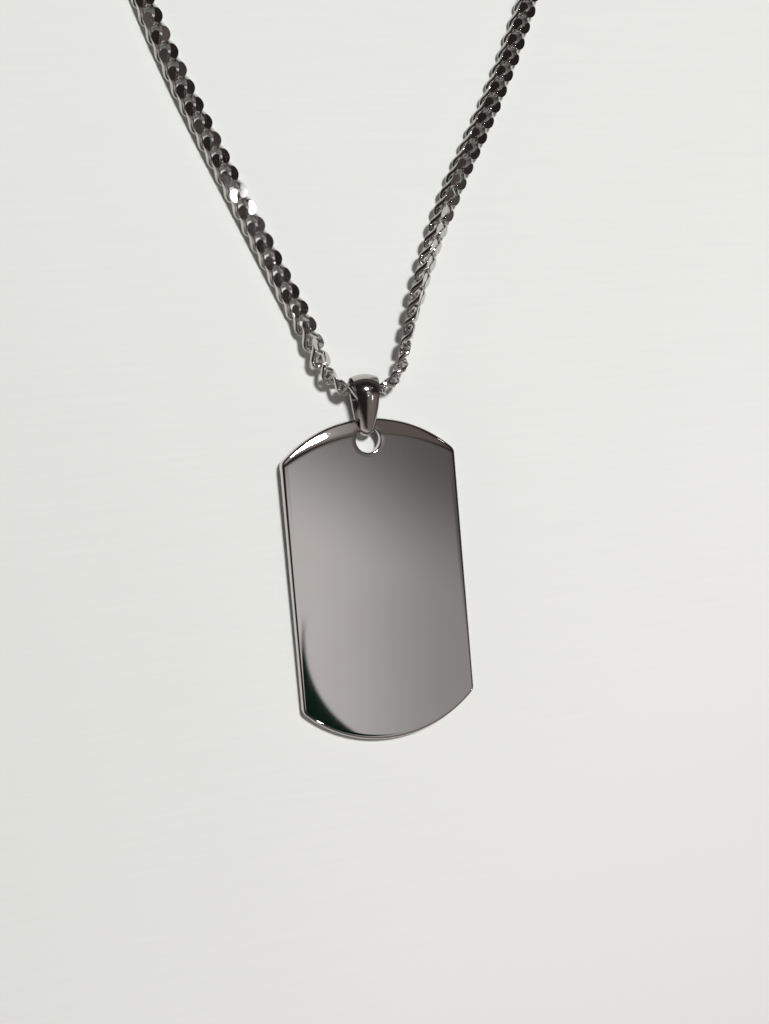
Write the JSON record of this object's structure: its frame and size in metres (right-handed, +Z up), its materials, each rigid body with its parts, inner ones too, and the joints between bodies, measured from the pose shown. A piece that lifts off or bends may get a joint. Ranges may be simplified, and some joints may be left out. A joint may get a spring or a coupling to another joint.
{
  "type": "dog tag pendant on a chain",
  "caption": "Polished steel dog tag with a tapered loop bail, hung on a flat-ground curb chain that closes with a sprung lobster clasp",
  "frame": {"origin": "middle of the tag's flat back face", "axes": "+Z up out of the table that it lies on, face up; +Y from the tag towards the chain's two ends; +X to the right seen from above"},
  "size_m": [0.0927, 0.1886, 0.0058],
  "materials": {
    "tag_steel": "mirror-polished stainless steel with a light haze of fine scratches",
    "chain_steel": "polished stainless steel wire, ground flat and bright on both faces",
    "spring_steel": "plain spring steel"
  },
  "bodies": {
    "tag": {"tag_plate": "tag_steel"},
    "bail": {"bail": "tag_steel"},
    "centre_link": {"centre_link": "chain_steel"},
    "left_link_01": {"left_link_01": "chain_steel"},
    "left_link_02": {"left_link_02": "chain_steel"},
    "left_link_03": {"left_link_03": "chain_steel"},
    "left_link_04": {"left_link_04": "chain_steel"},
    "left_link_05": {"left_link_05": "chain_steel"},
    "left_link_06": {"left_link_06": "chain_steel"},
    "left_link_07": {"left_link_07": "chain_steel"},
    "left_link_08": {"left_link_08": "chain_steel"},
    "left_link_09": {"left_link_09": "chain_steel"},
    "left_link_10": {"left_link_10": "chain_steel"},
    "left_link_11": {"left_link_11": "chain_steel"},
    "left_link_12": {"left_link_12": "chain_steel"},
    "left_link_13": {"left_link_13": "chain_steel"},
    "left_link_14": {"left_link_14": "chain_steel"},
    "left_link_15": {"left_link_15": "chain_steel"},
    "left_link_16": {"left_link_16": "chain_steel"},
    "left_run_01": {"left_run_01": "chain_steel"},
    "left_run_02": {"left_run_02": "chain_steel"},
    "left_run_03": {"left_run_03": "chain_steel"},
    "left_run_04": {"left_run_04": "chain_steel"},
    "left_run_05": {"left_run_05": "chain_steel"},
    "left_run_06": {"left_run_06": "chain_steel"},
    "left_run_07": {"left_run_07": "chain_steel"},
    "left_run_08": {"left_run_08": "chain_steel"},
    "left_run_09": {"left_run_09": "chain_steel"},
    "left_run_10": {"left_run_10": "chain_steel"},
    "right_link_01": {"right_link_01": "chain_steel"},
    "right_link_02": {"right_link_02": "chain_steel"},
    "right_link_03": {"right_link_03": "chain_steel"},
    "right_link_04": {"right_link_04": "chain_steel"},
    "right_link_05": {"right_link_05": "chain_steel"},
    "right_link_06": {"right_link_06": "chain_steel"},
    "right_link_07": {"right_link_07": "chain_steel"},
    "right_link_08": {"right_link_08": "chain_steel"},
    "right_link_09": {"right_link_09": "chain_steel"},
    "right_link_10": {"right_link_10": "chain_steel"},
    "right_link_11": {"right_link_11": "chain_steel"},
    "right_link_12": {"right_link_12": "chain_steel"},
    "right_link_13": {"right_link_13": "chain_steel"},
    "right_link_14": {"right_link_14": "chain_steel"},
    "right_link_15": {"right_link_15": "chain_steel"},
    "right_run_01": {"right_run_01": "chain_steel"},
    "right_run_02": {"right_run_02": "chain_steel"},
    "right_run_03": {"right_run_03": "chain_steel"},
    "right_run_04": {"right_run_04": "chain_steel"},
    "right_run_05": {"right_run_05": "chain_steel"},
    "right_run_06": {"right_run_06": "chain_steel"},
    "right_run_07": {"right_run_07": "chain_steel"},
    "right_run_08": {"right_run_08": "chain_steel"},
    "right_run_09": {"right_run_09": "chain_steel"},
    "right_run_10": {"right_run_10": "chain_steel"},
    "clasp_ring": {"clasp_ring": "chain_steel"},
    "clasp": {"clasp_body": "chain_steel", "clasp_pin": "tag_steel", "clasp_spring": "spring_steel"},
    "clasp_lever": {"clasp_lever": "chain_steel"},
    "end_ring": {"end_ring": "chain_steel"}
  },
  "joints": [
    {"name": "bail_swing", "type": "hinge", "parent": "tag", "child": "bail", "pos_m": [0, 0.02427, 0.00144], "axis": [1, 0, 0], "range_deg": [-60, 100]},
    {"name": "centre_link_rock", "type": "hinge", "parent": "bail", "child": "centre_link", "pos_m": [0.001, 0.02893, 0.00232], "axis": [1, 0, 0], "range_deg": [-20, 20]},
    {"name": "left_link_01_fold", "type": "hinge", "parent": "centre_link", "child": "left_link_01", "pos_m": [-0.00039, 0.02879, 0.00232], "axis": [-0.0917, -0.1731, 0.9806], "range_deg": [-12, 18]},
    {"name": "left_link_02_bend", "type": "hinge", "parent": "left_link_01", "child": "left_link_02", "pos_m": [-0.00305, 0.02968, 0.00223], "axis": [0.6098, 0.6963, 0.3787], "range_deg": [-14, 14]},
    {"name": "left_link_03_fold", "type": "hinge", "parent": "left_link_02", "child": "left_link_03", "pos_m": [-0.00511, 0.03157, 0.00208], "axis": [-0.531, -0.1603, 0.8321], "range_deg": [-18, 18]},
    {"name": "left_link_04_bend", "type": "hinge", "parent": "left_link_03", "child": "left_link_04", "pos_m": [-0.00622, 0.03413, 0.00186], "axis": [0.6628, 0.2703, 0.6983], "range_deg": [-14, 14]},
    {"name": "left_link_05_fold", "type": "hinge", "parent": "left_link_04", "child": "left_link_05", "pos_m": [-0.00702, 0.0368, 0.00158], "axis": [-0.8043, -0.2008, 0.5592], "range_deg": [-18, 18]},
    {"name": "left_link_06_bend", "type": "hinge", "parent": "left_link_05", "child": "left_link_06", "pos_m": [-0.00791, 0.03943, 0.00124], "axis": [0.3217, 0.2595, 0.9106], "range_deg": [-14, 14]},
    {"name": "left_link_07_fold", "type": "hinge", "parent": "left_link_06", "child": "left_link_07", "pos_m": [-0.0089, 0.04202, 0.00085], "axis": [-0.9065, -0.3677, 0.2073], "range_deg": [-18, 18]},
    {"name": "left_link_08_bend", "type": "hinge", "parent": "left_link_07", "child": "left_link_08", "pos_m": [-0.00999, 0.04459, 0.00064], "axis": [0.1914, 0.0812, 0.9781], "range_deg": [-14, 14]},
    {"name": "left_link_09_fold", "type": "hinge", "parent": "left_link_08", "child": "left_link_09", "pos_m": [-0.01108, 0.04717, 0.00064], "axis": [-0.9004, -0.3822, 0.2079], "range_deg": [-18, 18]},
    {"name": "left_link_10_bend", "type": "hinge", "parent": "left_link_09", "child": "left_link_10", "pos_m": [-0.01217, 0.04975, 0.00064], "axis": [0.1914, 0.0812, 0.9781], "range_deg": [-14, 14]},
    {"name": "left_link_11_fold", "type": "hinge", "parent": "left_link_10", "child": "left_link_11", "pos_m": [-0.01327, 0.05232, 0.00064], "axis": [-0.9004, -0.3822, 0.2079], "range_deg": [-18, 18]},
    {"name": "left_link_12_bend", "type": "hinge", "parent": "left_link_11", "child": "left_link_12", "pos_m": [-0.01436, 0.0549, 0.00064], "axis": [0.1914, 0.0812, 0.9781], "range_deg": [-14, 14]},
    {"name": "left_link_13_fold", "type": "hinge", "parent": "left_link_12", "child": "left_link_13", "pos_m": [-0.01546, 0.05748, 0.00064], "axis": [-0.9004, -0.3822, 0.2079], "range_deg": [-18, 18]},
    {"name": "left_link_14_bend", "type": "hinge", "parent": "left_link_13", "child": "left_link_14", "pos_m": [-0.01655, 0.06006, 0.00064], "axis": [0.1914, 0.0812, 0.9781], "range_deg": [-14, 14]},
    {"name": "left_link_15_fold", "type": "hinge", "parent": "left_link_14", "child": "left_link_15", "pos_m": [-0.01764, 0.06263, 0.00064], "axis": [-0.9004, -0.3822, 0.2079], "range_deg": [-18, 18]},
    {"name": "left_link_16_bend", "type": "hinge", "parent": "left_link_15", "child": "left_link_16", "pos_m": [-0.01874, 0.06521, 0.00064], "axis": [0.1908, 0.0827, 0.9781], "range_deg": [-14, 14]},
    {"name": "left_run_01_fold", "type": "hinge", "parent": "left_link_16", "child": "left_run_01", "pos_m": [-0.01983, 0.06779, 0.00064], "axis": [-0.9066, -0.3711, 0.2011], "range_deg": [-18, 18]},
    {"name": "left_run_02_bend", "type": "hinge", "parent": "left_run_01", "child": "left_run_02", "pos_m": [-0.02302, 0.07556, 0.00061], "axis": [0.1683, 0.0654, 0.9836], "range_deg": [-14, 14]},
    {"name": "left_run_03_fold", "type": "hinge", "parent": "left_run_02", "child": "left_run_03", "pos_m": [-0.02592, 0.08344, 0.00058], "axis": [-0.9385, -0.3062, 0.1599], "range_deg": [-18, 18]},
    {"name": "left_run_04_bend", "type": "hinge", "parent": "left_run_03", "child": "left_run_04", "pos_m": [-0.02853, 0.09143, 0.00055], "axis": [0.1328, 0.0417, 0.9903], "range_deg": [-14, 14]},
    {"name": "left_run_05_fold", "type": "hinge", "parent": "left_run_04", "child": "left_run_05", "pos_m": [-0.03085, 0.0995, 0.00052], "axis": [-0.964, -0.2381, 0.1184], "range_deg": [-18, 18]},
    {"name": "left_run_06_bend", "type": "hinge", "parent": "left_run_05", "child": "left_run_06", "pos_m": [-0.03286, 0.10766, 0.00049], "axis": [0.0954, 0.0205, 0.9952], "range_deg": [-14, 14]},
    {"name": "left_run_07_fold", "type": "hinge", "parent": "left_run_06", "child": "left_run_07", "pos_m": [-0.03458, 0.11588, 0.00049], "axis": [-0.9826, -0.1692, 0.0767], "range_deg": [-18, 18]},
    {"name": "left_run_08_bend", "type": "hinge", "parent": "left_run_07", "child": "left_run_08", "pos_m": [-0.036, 0.12416, 0.00062], "axis": [0.0577, -0.0101, 0.9983], "range_deg": [-14, 14]},
    {"name": "left_run_09_fold", "type": "hinge", "parent": "left_run_08", "child": "left_run_09", "pos_m": [-0.03711, 0.13248, 0.00077], "axis": [-0.9947, -0.0965, 0.0349], "range_deg": [-18, 18]},
    {"name": "left_run_10_bend", "type": "hinge", "parent": "left_run_09", "child": "left_run_10", "pos_m": [-0.03791, 0.14084, 0.00093], "axis": [0.0149, -0.0162, 0.9998], "range_deg": [-14, 14]},
    {"name": "right_link_01_fold", "type": "hinge", "parent": "centre_link", "child": "right_link_01", "pos_m": [0.00239, 0.02906, 0.00232], "axis": [-0.0201, 0.0821, 0.9964], "range_deg": [-18, 18]},
    {"name": "right_link_02_bend", "type": "hinge", "parent": "right_link_01", "child": "right_link_02", "pos_m": [0.00483, 0.03044, 0.00226], "axis": [0.7947, -0.585, 0.1622], "range_deg": [-14, 14]},
    {"name": "right_link_03_fold", "type": "hinge", "parent": "right_link_02", "child": "right_link_03", "pos_m": [0.0065, 0.03269, 0.00221], "axis": [-0.2253, 0.09, 0.9701], "range_deg": [-18, 18]},
    {"name": "right_link_04_bend", "type": "hinge", "parent": "right_link_03", "child": "right_link_04", "pos_m": [0.00733, 0.03536, 0.00216], "axis": [0.9006, -0.2942, 0.32], "range_deg": [-14, 14]},
    {"name": "right_link_05_fold", "type": "hinge", "parent": "right_link_04", "child": "right_link_05", "pos_m": [0.00822, 0.03801, 0.0021], "axis": [-0.3646, 0.1566, 0.9179], "range_deg": [-18, 18]},
    {"name": "right_link_06_bend", "type": "hinge", "parent": "right_link_05", "child": "right_link_06", "pos_m": [0.00916, 0.04065, 0.00202], "axis": [0.8306, -0.3, 0.4692], "range_deg": [-14, 14]},
    {"name": "right_link_07_fold", "type": "hinge", "parent": "right_link_06", "child": "right_link_07", "pos_m": [0.01016, 0.04327, 0.00193], "axis": [-0.4897, 0.2289, 0.8413], "range_deg": [-18, 18]},
    {"name": "right_link_08_bend", "type": "hinge", "parent": "right_link_07", "child": "right_link_08", "pos_m": [0.0112, 0.04586, 0.00184], "axis": [0.7408, -0.2898, 0.606], "range_deg": [-14, 14]},
    {"name": "right_link_09_fold", "type": "hinge", "parent": "right_link_08", "child": "right_link_09", "pos_m": [0.0123, 0.04844, 0.00173], "axis": [-0.5973, 0.3033, 0.7425], "range_deg": [-18, 18]},
    {"name": "right_link_10_bend", "type": "hinge", "parent": "right_link_09", "child": "right_link_10", "pos_m": [0.01345, 0.05099, 0.00161], "axis": [0.6347, -0.263, 0.7266], "range_deg": [-14, 14]},
    {"name": "right_link_11_fold", "type": "hinge", "parent": "right_link_10", "child": "right_link_11", "pos_m": [0.01464, 0.05352, 0.00148], "axis": [-0.685, 0.3761, 0.624], "range_deg": [-18, 18]},
    {"name": "right_link_12_bend", "type": "hinge", "parent": "right_link_11", "child": "right_link_12", "pos_m": [0.01589, 0.05602, 0.00134], "axis": [0.5162, -0.2196, 0.8278], "range_deg": [-14, 14]},
    {"name": "right_link_13_fold", "type": "hinge", "parent": "right_link_12", "child": "right_link_13", "pos_m": [0.01718, 0.0585, 0.00119], "axis": [-0.751, 0.4437, 0.4891], "range_deg": [-18, 18]},
    {"name": "right_link_14_bend", "type": "hinge", "parent": "right_link_13", "child": "right_link_14", "pos_m": [0.01853, 0.06095, 0.00103], "axis": [0.3892, -0.1602, 0.9071], "range_deg": [-14, 14]},
    {"name": "right_link_15_fold", "type": "hinge", "parent": "right_link_14", "child": "right_link_15", "pos_m": [0.01992, 0.06337, 0.00086], "axis": [-0.7995, 0.4939, 0.3418], "range_deg": [-18, 18]},
    {"name": "right_run_01_bend", "type": "hinge", "parent": "right_link_15", "child": "right_run_01", "pos_m": [0.02136, 0.06577, 0.00076], "axis": [0.2886, -0.1623, 0.9436], "range_deg": [-14, 14]},
    {"name": "right_run_02_fold", "type": "hinge", "parent": "right_run_01", "child": "right_run_02", "pos_m": [0.02558, 0.07303, 0.00072], "axis": [-0.8447, 0.4446, 0.2979], "range_deg": [-18, 18]},
    {"name": "right_run_03_bend", "type": "hinge", "parent": "right_run_02", "child": "right_run_03", "pos_m": [0.02948, 0.08047, 0.00068], "axis": [0.2415, -0.1079, 0.9644], "range_deg": [-14, 14]},
    {"name": "right_run_04_fold", "type": "hinge", "parent": "right_run_03", "child": "right_run_04", "pos_m": [0.03306, 0.08807, 0.00064], "axis": [-0.8974, 0.3761, 0.2306], "range_deg": [-18, 18]},
    {"name": "right_run_05_bend", "type": "hinge", "parent": "right_run_04", "child": "right_run_05", "pos_m": [0.03629, 0.09583, 0.00059], "axis": [0.1864, -0.0626, 0.9805], "range_deg": [-14, 14]},
    {"name": "right_run_06_fold", "type": "hinge", "parent": "right_run_05", "child": "right_run_06", "pos_m": [0.03919, 0.10371, 0.00054], "axis": [-0.9402, 0.2996, 0.1622], "range_deg": [-18, 18]},
    {"name": "right_run_07_bend", "type": "hinge", "parent": "right_run_06", "child": "right_run_07", "pos_m": [0.04174, 0.11171, 0.00054], "axis": [0.1163, -0.0587, 0.9915], "range_deg": [-14, 14]},
    {"name": "right_run_08_fold", "type": "hinge", "parent": "right_run_07", "child": "right_run_08", "pos_m": [0.04393, 0.11982, 0.00076], "axis": [-0.972, 0.2157, 0.0929], "range_deg": [-18, 18]},
    {"name": "right_run_09_bend", "type": "hinge", "parent": "right_run_08", "child": "right_run_09", "pos_m": [0.04578, 0.12801, 0.00101], "axis": [0.0515, -0.0423, 0.9978], "range_deg": [-14, 14]},
    {"name": "right_run_10_fold", "type": "hinge", "parent": "right_run_09", "child": "right_run_10", "pos_m": [0.04726, 0.13627, 0.00128], "axis": [-0.9909, 0.1327, 0.0233], "range_deg": [-18, 18]},
    {"name": "clasp_ring_fold", "type": "hinge", "parent": "left_run_10", "child": "clasp_ring", "pos_m": [-0.03841, 0.14923, 0.00107], "axis": [-0.9981, -0.0595, 0.014], "range_deg": [-20, 20]},
    {"name": "clasp_swing", "type": "hinge", "parent": "clasp_ring", "child": "clasp", "pos_m": [-0.03857, 0.15197, 0.00112], "axis": [0.0149, -0.0162, 0.9998], "range_deg": [-20, 20]},
    {"name": "clasp_lever_open", "type": "hinge", "parent": "clasp", "child": "clasp_lever", "pos_m": [-0.04015, 0.15843, 0.00125], "axis": [-0.0149, 0.0162, -0.9998], "range_deg": [0, 25], "stiffness_Nm_per_rad": 0.002, "springref_deg": -17.19},
    {"name": "end_ring_fold", "type": "hinge", "parent": "right_run_10", "child": "end_ring", "pos_m": [0.04838, 0.1446, 0.00152], "axis": [-0.9909, 0.1327, 0.0233], "range_deg": [-20, 20]}
  ]
}
